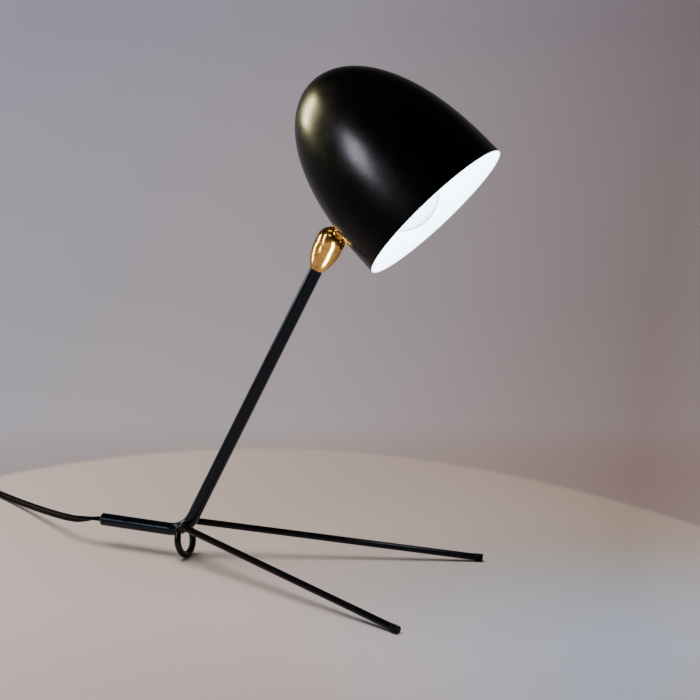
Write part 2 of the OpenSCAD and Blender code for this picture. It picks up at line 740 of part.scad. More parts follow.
// the stretch the photograph shows, from the bush to the switch
lead_route = [
    exit_point, [-167.2, 0, 20.9],
    [-172.8, -0.2, 20.3], [-179, -0.2, 19.2], [-188.5, 1.9, 17.3], [-199.5, 7, 15.5],
    [-211.5, 14, 13.5], [-223.9, 21.6, 11.6], [-239.9, 31.6, 9.3], [-257.8, 42.8, 7],
    [-277.3, 54.6, 4.9], [-296.3, 65.4, 3.5], [-311, 73, 3.1], [-319.8, 77.2, 4.4],
    [-327.8, 80.7, 6.5], [-335.4, 84, switch_port]
];
lead_turn = 157;
lead_dir = [cos(lead_turn), sin(lead_turn), 0];
left_dir = [-sin(lead_turn), cos(lead_turn), 0];
switch_full = switch_len + 2 * port_len;
switch_near = lead_route[len(lead_route) - 1];
switch_far = switch_near + switch_full * lead_dir;
// straight run from the switch down to the coil's lower layer
coil_run_in = 24;
coil_turns = 7.5;
// the spiral opens out by this much more at both ends of the climb
coil_widen = 1.9;
function coil_widening(turn) = coil_widen * ease((abs(turn) - 0.21) / 0.25);
function coil_r(turn) = coil_in_r + coil_pitch * abs(turn) + coil_widening(turn);
coil_out_r = coil_r(coil_turns / 2);
coil_start = [switch_far[0], switch_far[1], coil_z] + coil_run_in * lead_dir;
coil_mid = coil_start + coil_out_r * left_dir;
coil_from = lead_turn - 90;
// turn runs from -coil_turns / 2 to coil_turns / 2; the climb is in the middle half turn
function coil_point(turn) =
    let(a = coil_from + 360 * (turn + coil_turns / 2))
    coil_mid + coil_r(turn) * [cos(a), sin(a), 0]
        + [0, 0, layer_step * ease(0.5 + turn / 0.42)];
rings_per_turn = 24;
coil_rings = coil_turns * rings_per_turn;
coil_loops = [for (i = [0:coil_rings]) coil_point(i / rings_per_turn - coil_turns / 2)];
run_in = [for (s = [0, 6, 11, 15, 19])
    switch_far + s * lead_dir + [0, 0, switch_port - switch_far[2]
        - (switch_port - coil_z) * ease((s - 5) / 15)]];
coil_exit = coil_point(coil_turns / 2) - 6 * lead_dir;
coil_route = concat(run_in, coil_loops, [coil_exit]);

// from the coil's top layer down to the plug
plug_z = plug_h / 2;
tail_steps = [
    [0, 0], [6, 0], [12, -0.8], [18, -2.6], [24, -4.6], [31, -6.3], [38, -7.1], [44, -6.2], [50, -4.1],
    [56, plug_z - coil_exit[2]]
];
tail_route = [for (s = tail_steps) coil_exit - s[0] * lead_dir + [0, 0, s[1]]];
tail_end = tail_route[len(tail_route) - 1];

// the lead leaves the tube flat and turns on edge within this many of its rings
twist_rings = 10;
module cord_lead() {
    run = smooth_run(lead_route, 2);
    n = len(run);
    roll = [for (i = [0:n - 1]) 90 * (1 - ease((i - 1) / twist_rings))];
    color("#161616") flat_tube(run, roll, [-1, 0, 0], lead_dir, 8);
}

module cord_coil() {
    color("#161616") flat_tube(coil_route, [for (p = coil_route) 0], lead_dir, -lead_dir, 6);
}

module cord_tail() {
    run = smooth_run(tail_route, 1);
    n = len(run);
    roll = [for (i = [0:n - 1]) 90 * ease((i - 2) / (n - 4))];
    color("#161616") flat_tube(run, roll, -lead_dir, -lead_dir, 8);
}

// tie round all turns, across the coil from the climb
tie_angle = coil_from + 90;
function tie_r(k) = coil_r(0.5 + k);
tie_room = 0.9;
module cord_tie() {
    low = tie_r(0) - lead_t / 2 - tie_room;
    high = tie_r(3) + lead_t / 2 + tie_room;
    top = coil_z + layer_step + lead_w / 2 + 0.2;
    color("#101010") translate([coil_mid[0], coil_mid[1], 0]) rotate([0, 0, tie_angle]) difference() {
        translate([low - tie_t, -tie_w / 2, 0]) cube([high - low + 2 * tie_t, tie_w, top + tie_t]);
        translate([low, -tie_w / 2 - 1, tie_t]) cube([high - low, tie_w + 2, top - tie_t]);
    }
}

// --- in-line switch: X along the lead, from the middle of the switch, Z from the floor ---
module at_switch() {
    translate([switch_near[0], switch_near[1], 0] + switch_full / 2 * lead_dir)
        rotate([0, 0, lead_turn]) children();
}

module stadium(l, w) {
    square([l - w, w], center = true);
    for (s = [-1, 1]) translate([s * (l - w) / 2, 0]) circle(d = w);
}

port_w = 9;
port_h = 11;
port_low = 2;
screw_x = 20;
screw_d = 3;
post_d = 7;
pin_r = 1;
rocker_gap = 0.4;
pivot_z = switch_h - 4.4;
lug_t = 1.6;

module switch_ports(low, high) {
    bottom = max(low, port_low);
    top = min(high, port_low + port_h);
    for (s = [-1, 1]) translate([s * (switch_full / 2 - 5) - 5, -port_w / 2, bottom])
        cube([10, port_w, top - bottom]);
}

module shell_block(low, high) {
    translate([0, 0, low]) linear_extrude(high - low) stadium(switch_len, switch_w);
    switch_ports(low, high);
}

module shell_room(low, high) {
    translate([0, 0, low]) linear_extrude(high - low)
        stadium(switch_len - 2 * switch_wall, switch_w - 2 * switch_wall);
}

module posts(low, high) {
    for (s = [-1, 1]) translate([s * screw_x, 0, low]) cylinder(d = post_d, h = high - low);
}

module switch_bottom() {
    color("#151515") at_switch() difference() {
        union() {
            difference() {
                shell_block(0, switch_seam);
                shell_room(switch_wall, switch_seam + 1);
            }
            posts(switch_wall - 0.5, switch_seam);
        }
        for (s = [-1, 1]) translate([s * screw_x, 0, -1]) {
            cylinder(d = screw_d, h = 20);
            cylinder(d = 5.6, h = 3);
        }
    }
}

window_l = rocker_len + 2;
window_w = rocker_w + 2 * rocker_gap;
module switch_top() {
    lug_y = window_w / 2;
    color("#151515") at_switch() difference() {
        union() {
            difference() {
                shell_block(switch_seam, switch_h);
                shell_room(switch_seam - 1, switch_h - switch_wall);
            }
            posts(switch_seam, switch_h - switch_wall + 0.5);
            for (s = [-1, 1]) translate([-3, s > 0 ? lug_y : -lug_y - lug_t, pivot_z - 2.5])
                cube([6, lug_t, switch_h - pivot_z + 1]);
        }
        translate([-window_l / 2, -window_w / 2, switch_seam]) cube([window_l, window_w, 20]);
        translate([0, 0, pivot_z]) rotate([90, 0, 0]) cylinder(r = pin_r, h = 2 * (lug_y + lug_t), center = true);
        for (s = [-1, 1]) translate([s * screw_x, 0, 0]) cylinder(d = screw_d, h = switch_h - 3);
    }
}

module switch_screws() {
    color("silver") at_switch() for (s = [-1, 1]) translate([s * screw_x, 0, 0.4]) {
        cylinder(d = screw_d, h = switch_h - 4);
        difference() {
            cylinder(d = 5.4, h = 1.6);
            translate([0, 0, -0.01]) linear_extrude(0.8) {
                square([3.6, 0.9], center = true);
                square([0.9, 3.6], center = true);
            }
        }
    }
}

module switch_contacts() {
    color("#c9a24a") at_switch() {
        for (s = [-1, 1]) translate([s * 9 - 5, -3, switch_wall]) cube([10, 6, 3]);
        translate([-4, -1.5, switch_wall]) cube([8, 3, 1.2]);
    }
}

module switch_pin() {
    color("silver") at_switch() translate([0, 0, pivot_z]) rotate([90, 0, 0])
        cylinder(r = pin_r, h = window_w + 2 * lug_t, center = true);
}

module switch_rocker() {
    half = rocker_len / 2;
    color("#202020") at_switch() translate([0, 0, pivot_z]) rotate([0, rocker_tilt, 0]) difference() {
        translate([0, rocker_w / 2, 0]) rotate([90, 0, 0]) linear_extrude(rocker_w) polygon([
            [-half, -1.2], [-3, -2.4], [3, -2.4], [half, -1.2],
            [half, 4.6], [half / 2, 4.1], [0, 3.9], [-half / 2, 4.1], [-half, 4.6]
        ]);
        rotate([90, 0, 0]) cylinder(r = pin_r + run_gap, h = rocker_w + 2, center = true);
    }
}

// --- plug: X from the lead's end towards the pins ---------------------------------------
module at_plug() {
    translate([tail_end[0], tail_end[1], plug_z]) rotate([0, 0, lead_turn + 180]) children();
}

relief_small = lead_w + 1;
relief_big = 11;
ribs = 5;
module plug_relief() {
    color("#161616") at_plug() rotate([0, 90, 0]) difference() {
        cylinder(d1 = relief_small, d2 = relief_big, h = relief_len);
        for (i = [1:ribs]) translate([0, 0, i * relief_len / (ribs + 1) - 0.7]) difference() {
            cylinder(d = 20, h = 1.4);
            translate([0, 0, -1]) cylinder(d = lead_w + 0.2 + i * 0.35, h = 4);
        }
    }
}

pin_root = 8;
root_d = pin_d - 1;
module plug_body() {
    half = plug_w / 2;
    color("#161616") at_plug() translate([relief_len, 0, 0]) difference() {
        translate([0, 0, -plug_h / 2]) linear_extrude(plug_h) polygon([
            [0, -7.5], [0, 7.5], [7, 9], [plug_len * 0.62, half - 1.5], [plug_len * 0.7, half],
            [plug_len, half], [plug_len, -half], [plug_len * 0.7, -half],
            [plug_len * 0.62, 1.5 - half], [7, -9]
        ]);
        for (s = [-1, 1]) translate([plug_len - pin_root, s * pin_gap / 2, 0]) rotate([0, 90, 0])
            cylinder(d = root_d, h = pin_root + 1);
    }
}

module plug_pins() {
    straight = pin_len - pin_d / 2;
    color("#c8b070") at_plug() for (s = [-1, 1])
        translate([relief_len + plug_len, s * pin_gap / 2, 0]) rotate([0, 90, 0]) {
            translate([0, 0, -pin_root]) cylinder(d = root_d, h = pin_root + 1);
            cylinder(d = pin_d, h = straight);
            translate([0, 0, straight]) sphere(d = pin_d);
        }
}

// --- measures the source prints -----------------------------------------------------------
// least gap between turns, allowing for the section's width across the line between them
function turn_gap(a, b) =
    let(d = b - a, flat = norm([d[0], d[1]]), rise = abs(d[2]))
    max(flat - lead_t, rise - lead_w);
coil_gap = min([for (i = [0:coil_rings]) for (j = [i + 12:1:coil_rings])
    turn_gap(coil_loops[i], coil_loops[j])]);
lead_total = run_len(smooth_run(lead_route, 4)) + switch_full + run_len(coil_route)
    + run_len(smooth_run(tail_route, 2));
echo(least_gap_between_turns = coil_gap);
echo(length_of_lead = lead_total);
echo(corner = corner, ball = ball, rim = rim, stem_lean = stem_lean, coil_out_r = coil_out_r);
echo(coil_mid = coil_mid, switch_far = switch_far, tail_end = tail_end, exit_point = exit_point);

stem_tube();
leg_left();
leg_right();
foot_loop();
weld_beads();
foot_tip_left();
foot_tip_right();
rear_bush();
inner_lead();
tube_nipple();
turn_washer();
swivel_cup();
swivel_dome();
disc_springs();
friction_seat();
swivel_ball();
stem_collar();
shade();
stem_nut();
holder_bracket();
holder_nipple();
holder_nut();
holder_sleeve();
holder_back();
thread_shell();
holder_core();
centre_contact();
bulb_globe();
bulb_cap();
bulb_insulator();
head_lead();
cord_lead();
switch_bottom();
switch_top();
switch_screws();
switch_contacts();
switch_pin();
switch_rocker();
cord_coil();
cord_tie();
cord_tail();
plug_relief();
plug_body();
plug_pins();
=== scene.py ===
import math

import bmesh
import bpy
from mathutils import Matrix, Vector


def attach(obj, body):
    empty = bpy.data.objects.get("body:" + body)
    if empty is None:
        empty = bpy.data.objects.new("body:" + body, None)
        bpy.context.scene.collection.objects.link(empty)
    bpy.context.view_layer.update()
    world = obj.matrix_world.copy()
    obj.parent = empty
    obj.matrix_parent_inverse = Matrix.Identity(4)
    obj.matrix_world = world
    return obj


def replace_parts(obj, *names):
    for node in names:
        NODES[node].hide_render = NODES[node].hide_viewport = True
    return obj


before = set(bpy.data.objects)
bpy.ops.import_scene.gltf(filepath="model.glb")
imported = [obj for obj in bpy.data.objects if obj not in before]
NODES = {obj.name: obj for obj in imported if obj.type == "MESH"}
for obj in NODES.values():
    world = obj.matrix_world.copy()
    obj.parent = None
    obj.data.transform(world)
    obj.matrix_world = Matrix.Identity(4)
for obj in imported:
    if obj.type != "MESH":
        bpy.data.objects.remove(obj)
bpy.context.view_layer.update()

MM = 0.001
Z = Vector((0, 0, 1))

# --- camera: where the photograph was taken from ---------------------------------------------
CAMERA_PLACE = (0.66918, -1.37773, 0.54253)
LOOK_DOWN, LOOK_LEFT = 13.48, 24.09
lens = bpy.data.cameras.new("camera")
lens.lens, lens.sensor_width = 108, 36
lens.clip_start, lens.clip_end = 0.05, 60
camera = bpy.data.objects.new("camera", lens)
camera.location = CAMERA_PLACE
camera.rotation_euler = (math.radians(90 - LOOK_DOWN), 0, math.radians(LOOK_LEFT))
bpy.context.scene.collection.objects.link(camera)
bpy.context.scene.camera = camera


# --- helpers ---------------------------------------------------------------------------------
def ease(t):
    t = min(1.0, max(0.0, t))
    return t * t * (3 - 2 * t)


def add_object(name, mesh, body, smooth=True):
    obj = bpy.data.objects.new(name, mesh)
    bpy.context.scene.collection.objects.link(obj)
    for face in mesh.polygons:
        face.use_smooth = smooth
    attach(obj, body)
    return obj


def mesh_of(name, verts, faces, index=None):
    mesh = bpy.data.meshes.new(name)
    mesh.from_pydata([tuple(v) for v in verts], [], faces)
    if index:
        for face, k in zip(mesh.polygons, index):
            face.material_index = k
    mesh.validate()
    made = bmesh.new()
    made.from_mesh(mesh)
    bmesh.ops.recalc_face_normals(made, faces=made.faces)
    made.to_mesh(mesh)
    made.free()
    return mesh


def smooth_run(points, per):
    """Points on the smooth curve through the given ones, per of them to each stretch."""
    p = [Vector(q) for q in points]
    run = []
    for i in range(len(p) - 1):
        a, b = p[max(0, i - 1)], p[i]
        c, d = p[i + 1], p[min(len(p) - 1, i + 2)]
        for j in range(per):
            t = j / per
            run.append(0.5 * (2 * b + (c - a) * t + (2 * a - 5 * b + 4 * c - d) * t * t
                              + (3 * b - a - 3 * c + d) * t ** 3))
    return run + [p[-1]]


def directions(points, first, last):
    top = len(points) - 1
    dirs = [(points[min(top, i + 1)] - points[max(0, i - 1)]).normalized() for i in range(top + 1)]
    dirs[0], dirs[-1] = Vector(first).normalized(), Vector(last).normalized()
    return dirs


def sweep(name, points, dirs, rolls, section, body, upright):
    """A closed tube along points in millimetres. section lists (wide, thin) offsets. Roll 0
    stands the wide side upright and FLAT lays it down."""
    verts, faces = [], []
    for p, d, roll in zip(points, dirs, rolls):
        side = upright.cross(d).normalized()
        up = d.cross(side)
        a = math.radians(roll)
        wide = math.cos(a) * up + math.sin(a) * side
        thin = d.cross(wide)
        verts += [(p + u * wide + v * thin) * MM for u, v in section]
    n = len(section)
    for i in range(len(points) - 1):
        for k in range(n):
            m = (k + 1) % n
            faces.append((i * n + k, i * n + m, (i + 1) * n + m, (i + 1) * n + k))
    faces += [tuple(range(n)), tuple(range(len(verts) - n, len(verts)))]
    return add_object(name, mesh_of(name, verts, faces), body)


def lathe(name, profile, place, body, segments, index):
    """A turned piece: profile lists (radius, height) in millimetres, height along local Z, and
    index the material slot from each of its points to the next."""
    verts, faces, slots, rings = [], [], [], []
    for r, h in profile:
        if r == 0:
            rings.append([len(verts)])
            verts.append(place @ Vector((0, 0, h * MM)))
            continue
        rings.append(list(range(len(verts), len(verts) + segments)))
        for k in range(segments):
            a = 2 * math.pi * k / segments
            verts.append(place @ Vector((r * math.cos(a) * MM, r * math.sin(a) * MM, h * MM)))
    for i in range(len(rings) - 1):
        lower, upper = rings[i], rings[i + 1]
        for k in range(segments):
            m = (k + 1) % segments
            face = [lower[k % len(lower)], lower[m % len(lower)],
                    upper[m % len(upper)], upper[k % len(upper)]]
            faces.append(tuple(dict.fromkeys(face)))
            slots.append(index[i])
    return add_object(name, mesh_of(name, verts, faces, slots), body)


def place_of(origin, x, y, z):
    """Matrix whose local axes are x, y and z, at origin in millimetres."""
    m = Matrix((x, y, z)).transposed().to_4x4()
    m.translation = Vector(origin) * MM
    return m


# --- materials -------------------------------------------------------------------------------
# most of a noise lies between these values; the roughness varies more broadly than the colour
NOISE_LOW, NOISE_HIGH, BROADER = 0.3, 0.7, 0.37
LEAST_ROUGH = 0.02


def set_range(span, end, low, high):
    span.inputs[end + " Min"].default_value = low
    span.inputs[end + " Max"].default_value = high


def material(name, color, rough, metallic=0.0, grain=700.0, spread=0.12, rough_spread=0.05,
             bump=0.02, bump_scale=1600.0, stretch=(1, 1, 1), turn=0.0, **sockets):
    """A procedural finish: grain varies the colour and roughness, a finer noise gives relief.
    bump is the relief's depth in millimetres and scales are per metre. stretch draws the grain out
    along an axis that leans turn degrees from Z towards X; on brass these streaks are painted
    reflections."""
    mat = bpy.data.materials.new(name)
    mat.use_nodes = True
    tree = mat.node_tree
    nodes, link = tree.nodes, tree.links.new
    shader = nodes["Principled BSDF"]
    place = nodes.new("ShaderNodeTexCoord")
    mapping = nodes.new("ShaderNodeMapping")
    mapping.vector_type = "TEXTURE"
    mapping.inputs["Rotation"].default_value = (0, math.radians(turn), 0)
    mapping.inputs["Scale"].default_value = [1 / k for k in stretch]
    link(place.outputs["Object"], mapping.inputs["Vector"])

    def noise(scale, detail):
        n = nodes.new("ShaderNodeTexNoise")
        n.inputs["Scale"].default_value = scale
        n.inputs["Detail"].default_value = detail
        n.inputs["Roughness"].default_value = 0.6
        link(mapping.outputs["Vector"], n.inputs["Vector"])
        return n.outputs["Fac"]

    coarse = noise(grain, 4)
    ramp = nodes.new("ShaderNodeValToRGB")
    for stop, (at, k) in enumerate(((NOISE_LOW, 1 - spread), (NOISE_HIGH, 1 + spread))):
        ramp.color_ramp.elements[stop].position = at
        ramp.color_ramp.elements[stop].color = [min(1.0, c * k) for c in color] + [1]
    link(coarse, ramp.inputs["Fac"])
    link(ramp.outputs["Color"], shader.inputs["Base Color"])
    span = nodes.new("ShaderNodeMapRange")
    set_range(span, "From", NOISE_LOW, NOISE_HIGH)
    set_range(span, "To", max(LEAST_ROUGH, rough - rough_spread), rough + rough_spread)
    link(noise(grain * BROADER, 3), span.inputs["Value"])
    link(span.outputs["Result"], shader.inputs["Roughness"])
    if bump:
        relief = nodes.new("ShaderNodeBump")
        relief.inputs["Distance"].default_value = bump * MM
        relief.inputs["Strength"].default_value = 1.0
        link(noise(bump_scale, 3), relief.inputs["Height"])
        link(relief.outputs["Normal"], shader.inputs["Normal"])
    shader.inputs["Metallic"].default_value = metallic
    for key, value in sockets.items():
        shader.inputs[key.replace("_", " ")].default_value = value
    return mat


SHADE_BLACK = material("shade_black", (0.0012, 0.0012, 0.0018), 0.27, grain=220, spread=0.2,
                       rough_spread=0.03, bump=0.004, bump_scale=2600, Specular_IOR_Level=0.06,
                       Specular_Tint=(0.82, 0.86, 1.0, 1))
# white lacquer inside the shade that also glows: painted light standing in for the bulb's light on
# the wall
SHADE_WHITE_PAINTED_GLOW = material("shade_white_painted_glow", (0.86, 0.87, 0.87), 0.42, grain=300, spread=0.02, bump=0.01,
                       Emission_Strength=4.2, Emission_Color=(0.73, 0.89, 1.0, 1))
TUBE_BLACK = material("tube_black", (0.0012, 0.0018, 0.006), 0.18, grain=260, spread=0.25,
                      rough_spread=0.04, bump=0.004, bump_scale=420, Specular_IOR_Level=0.3,
                      Specular_Tint=(0.7, 0.84, 1.0, 1))
ROD_BLACK = material("rod_black", (0.003, 0.003, 0.004), 0.18, grain=320, spread=0.25,
                     rough_spread=0.06, bump=0.014, bump_scale=520, Specular_IOR_Level=0.2)
WELD_BLACK = material("weld_black", (0.004, 0.004, 0.005), 0.18, grain=500, spread=0.3,
                      rough_spread=0.05, bump=0.25, bump_scale=700, Specular_IOR_Level=0.25)
# brass with its colour drawn out in dark and bright streaks along the arm: painted reflections
BRASS_PAINTED_REFLECTIONS = material("brass", (0.6, 0.36, 0.095), 0.18, 1.0, grain=210, spread=0.45, rough_spread=0.05,
                 bump=0.006, bump_scale=900, stretch=(1, 1, 0.1), turn=27.5)
BALL_BRASS = material("ball_brass", (0.74, 0.45, 0.13), 0.2, 1.0, grain=260, spread=0.12,
                      rough_spread=0.05, bump=0.006, bump_scale=1200)
STEEL = material("steel", (0.56, 0.56, 0.57), 0.3, 1.0, grain=600, spread=0.12, bump=0.008)
WHITE_STEEL = material("white_steel", (0.8, 0.8, 0.79), 0.38, grain=400, spread=0.03, bump=0.01)
RUBBER = material("rubber", (0.003, 0.003, 0.003), 0.3, grain=900, spread=0.3, bump=0.02,
                  bump_scale=2600, Specular_IOR_Level=0.12)
NYLON = material("nylon", (0.78, 0.76, 0.68), 0.5, grain=500, spread=0.04, bump=0.01)
PORCELAIN = material("holder_white", (0.82, 0.82, 0.8), 0.28, grain=350, spread=0.03, bump=0.008,
                     Coat_Weight=0.3)
BULB_SHELL = material("bulb_shell", (0.72, 0.72, 0.73), 0.22, 1.0, grain=420, spread=0.08,
                      bump=0.006)
BLACK_PLASTIC = material("black_plastic", (0.012, 0.012, 0.013), 0.3, grain=700, spread=0.25,
                         bump=0.012, bump_scale=1800)
BLACK_MATT = material("black_matt", (0.008, 0.008, 0.008), 0.5, grain=800, spread=0.3, bump=0.02)
CONTACT_BRASS = material("contact_brass", (0.8, 0.6, 0.28), 0.3, 1.0, grain=500, spread=0.1,
                         bump=0.006)
NICKEL = material("nickel", (0.74, 0.7, 0.64), 0.2, 1.0, grain=450, spread=0.08, rough_spread=0.05,
                  bump=0.005)
CORD_BLACK = material("cord_black", (0.004, 0.004, 0.005), 0.36, grain=420, spread=0.3,
                      rough_spread=0.07, bump=0.02, bump_scale=1300, Specular_IOR_Level=0.1)
STRAP = material("strap", (0.016, 0.016, 0.017), 0.7, grain=1500, spread=0.4, bump=0.06,
                 bump_scale=2400, Sheen_Weight=0.2)
BULB_GLASS = material("bulb_glass", (0.9, 0.93, 1.0), 0.25, grain=120, spread=0.01,
                      rough_spread=0.02, bump=0, Coat_Weight=1.0, Coat_Roughness=0.04,
                      Emission_Color=(0.6, 0.82, 1.0, 1))
# emission of the glass, and where it fades: 0 is seen square on and 1 edge on
GLOW, RIM_GLOW = 7.0, 2.6
RIM_START, RIM_FULL = 0.6, 0.85


def glow_of_glass(mat):
    """An opal bulb shines a little less where its glass is seen edge on."""
    nodes, link = mat.node_tree.nodes, mat.node_tree.links.new
    weight = nodes.new("ShaderNodeLayerWeight")
    weight.inputs["Blend"].default_value = 0.5
    span = nodes.new("ShaderNodeMapRange")
    set_range(span, "From", RIM_START, RIM_FULL)
    set_range(span, "To", GLOW, RIM_GLOW)
    link(weight.outputs["Facing"], span.inputs["Value"])
    link(span.outputs["Result"], nodes["Principled BSDF"].inputs["Emission Strength"])


glow_of_glass(BULB_GLASS)

# --- the lead --------------------------------------------------------------------------------
# Route, in millimetres, as the CAD source has it: from the bush to the switch, through it, round
# the coil and to the plug.
LEAD_W, LEAD_T = 6.0, 3.0
EXIT = Vector((-162.7438, 0, 21))
LEAD_ROUTE = [
    EXIT, (-167.2, 0, 20.9),
    (-172.8, -0.2, 20.3), (-179, -0.2, 19.2), (-188.5, 1.9, 17.3), (-199.5, 7, 15.5),
    (-211.5, 14, 13.5), (-223.9, 21.6, 11.6), (-239.9, 31.6, 9.3), (-257.8, 42.8, 7),
    (-277.3, 54.6, 4.9), (-296.3, 65.4, 3.5), (-311, 73, 3.1), (-319.8, 77.2, 4.4),
    (-327.8, 80.7, 6.5), (-335.4, 84, 7.5),
]
LEAD_TURN = math.radians(157)
LEAD_DIR = Vector((math.cos(LEAD_TURN), math.sin(LEAD_TURN), 0))
LEFT_DIR = Vector((-math.sin(LEAD_TURN), math.cos(LEAD_TURN), 0))
SWITCH_FULL, PORT_Z = 62.0, 7.5
SWITCH_NEAR = Vector(LEAD_ROUTE[-1])
SWITCH_FAR = SWITCH_NEAR + SWITCH_FULL * LEAD_DIR
RUN_IN, COIL_Z, LAYER_STEP, TURNS = 24.0, 4.0, 6.6, 7.5
COIL_IN_R, PITCH, WIDEN = 23.6, 3.6, 1.9
# turns from the coil's middle where it widens, and turns over which it climbs to its upper layer
WIDEN_FROM, WIDEN_OVER, CLIMB_OVER = 0.21, 0.25, 0.42
PLUG_Z = 7.0


def coil_r(turn):
    return COIL_IN_R + PITCH * abs(turn) + WIDEN * ease((abs(turn) - WIDEN_FROM) / WIDEN_OVER)


COIL_MID = (Vector((SWITCH_FAR.x, SWITCH_FAR.y, COIL_Z)) + RUN_IN * LEAD_DIR
            + coil_r(TURNS / 2) * LEFT_DIR)


def coil_point(turn):
    a = LEAD_TURN - math.pi / 2 + 2 * math.pi * (turn + TURNS / 2)
    rise = LAYER_STEP * ease(0.5 + turn / CLIMB_OVER)
    return COIL_MID + Vector((coil_r(turn) * math.cos(a), coil_r(turn) * math.sin(a), rise))


# roll of lead that lies flat
FLAT = 90
# sections to each stretch of the lead and of its tail, and to each turn of the coil
LEAD_PER, TAIL_PER, PER_TURN = 4, 3, 40
# the lead leaves the bush lying flat and stands on edge this many half stretches on
TWIST_RINGS = 10
# it lies flat again on its way to the plug
FLAT_FROM, FLAT_OVER = 2, 6
lead_points = smooth_run(LEAD_ROUTE, LEAD_PER)
lead_rolls = [FLAT * (1 - ease((2 * i / LEAD_PER - 1) / TWIST_RINGS))
              for i in range(len(lead_points))]
inside_switch = [SWITCH_NEAR + s * LEAD_DIR for s in range(6, int(SWITCH_FULL), 7)]
# the run into the coil comes down from the switch's port to the coil's lower layer
DROP_FROM, DROP_OVER = 5, 15
RUN_STEPS = (0, 3, 6, 8.5, 11, 13, 15, 17, 19, 21.5)
run_in = [SWITCH_FAR + s * LEAD_DIR - (PORT_Z - COIL_Z) * ease((s - DROP_FROM) / DROP_OVER) * Z
          for s in RUN_STEPS]
coil_sections = int(TURNS * PER_TURN) + 1
coil_loops = [coil_point(i / PER_TURN - TURNS / 2) for i in range(coil_sections)]
TAIL_GAP = 6
COIL_EXIT = coil_loops[-1] - TAIL_GAP * LEAD_DIR
# steps of the tail: distance on from its start, and height above it
TAIL_STEPS = [(0, 0), (6, 0), (12, -0.8), (18, -2.6), (24, -4.6), (31, -6.3), (38, -7.1),
              (44, -6.2), (50, -4.1), (56, PLUG_Z - COIL_EXIT.z)]
tail_points = smooth_run([COIL_EXIT - s * LEAD_DIR + dz * Z for s, dz in TAIL_STEPS], TAIL_PER)
tail_rolls = [FLAT * ease((i / TAIL_PER - FLAT_FROM) / FLAT_OVER)
              for i in range(len(tail_points))]
route = lead_points + inside_switch + run_in + coil_loops + tail_points
rolls = lead_rolls + [0] * (len(inside_switch) + len(run_in) + len(coil_loops)) + tail_rolls


def twin_section(width, thick, groove=0.42, per=11):
    """Outline of flat twin lead: two round cores joined by a thin web."""
    r, offset = thick / 2, (width - thick) / 2
    reach = math.pi - math.asin(groove)
    lobe = [(offset + r * math.cos(a), r * math.sin(a))
            for a in [reach * (2 * k / (per - 1) - 1) for k in range(per)]]
    return lobe + [(-u, -v) for u, v in lobe]


TWIN = twin_section(LEAD_W, LEAD_T)


def twin_lead(name, points, dirs, turned, body, upright=Z):
    piece = sweep(name, points, dirs, turned, TWIN, body, upright)
    piece.data.materials.append(CORD_BLACK)
    return piece


lead = twin_lead("lead", route, directions(route, (-1, 0, 0), -LEAD_DIR), rolls, "stand")
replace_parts(lead, "cord_lead", "cord_coil", "cord_tail")

# tie round the coil: a strap with rounded corners, its end lapped over
TIE_W, TIE_T, TIE_ROOM, TIE_RISE, TIE_CORNER = 8.0, 0.8, 0.9, 0.2, 1.6
TIE_CHAMFER = 0.15
TAB_FROM, TAB_TO, TAB_EDGE, TAB_SUNK, TAB_PROUD = 4, 3, 0.6, 0.02, 0.002
# the coil's innermost and outermost turns where the tie crosses them
INNERMOST, OUTERMOST = 0.5, 3.5
tie_low = coil_r(INNERMOST) - LEAD_T / 2 - TIE_ROOM
tie_high = coil_r(OUTERMOST) + LEAD_T / 2 + TIE_ROOM
tie_top = COIL_Z + LAYER_STEP + LEAD_W / 2 + TIE_RISE


def tie_outline(grow):
    """Rounded box round the turns, in the plane (distance from the coil's middle, height)."""
    points = []
    for cx, cz, start in ((tie_high, TIE_T, -90), (tie_high, tie_top, 0), (tie_low, tie_top, 90),
                          (tie_low, TIE_T, 180)):
        mx = cx - TIE_CORNER if cx == tie_high else cx + TIE_CORNER
        mz = cz - TIE_CORNER if cz == tie_top else cz + TIE_CORNER
        r = TIE_CORNER + grow
        for k in range(7):
            a = math.radians(start + 15 * k)
            points.append((mx + r * math.cos(a), mz + r * math.sin(a)))
    return points


def tie_strap():
    inner, outer = tie_outline(0), tie_outline(TIE_T)
    base = Vector((COIL_MID.x, COIL_MID.y, 0))
    verts, faces, n = [], [], len(inner)
    edge = TIE_W / 2
    loops = ((inner, -edge + 2 * TIE_CHAMFER), (outer, -edge + TIE_CHAMFER),
             (outer, edge - TIE_CHAMFER), (inner, edge - 2 * TIE_CHAMFER))
    for line, y in loops:
        verts += [(base + x * LEAD_DIR + y * LEFT_DIR + z * Z) * MM for x, z in line]
    for b in range(4):
        for k in range(n):
            m, c = (k + 1) % n, (b + 1) % 4
            faces.append((b * n + k, b * n + m, c * n + m, c * n + k))
    # the lapped end, a short flat tab on the top of the strap
    a = len(verts)
    for x in (tie_low + TAB_FROM, tie_high - TAB_TO):
        for y in (-edge + TAB_EDGE, edge - TAB_EDGE):
            for z in (tie_top + TIE_T - TAB_SUNK, tie_top + TIE_T + TAB_PROUD):
                verts.append((base + x * LEAD_DIR + y * LEFT_DIR + z * Z) * MM)
    faces += [(a, a + 1, a + 3, a + 2), (a + 4, a + 6, a + 7, a + 5), (a, a + 4, a + 5, a + 1),
              (a + 2, a + 3, a + 7, a + 6), (a + 1, a + 5, a + 7, a + 3), (a, a + 2, a + 6, a + 4)]
    piece = add_object("lead_tie", mesh_of("lead_tie", verts, faces), "stand", smooth=False)
    piece.data.materials.append(STRAP)
    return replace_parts(piece, "cord_tie")


tie = tie_strap()

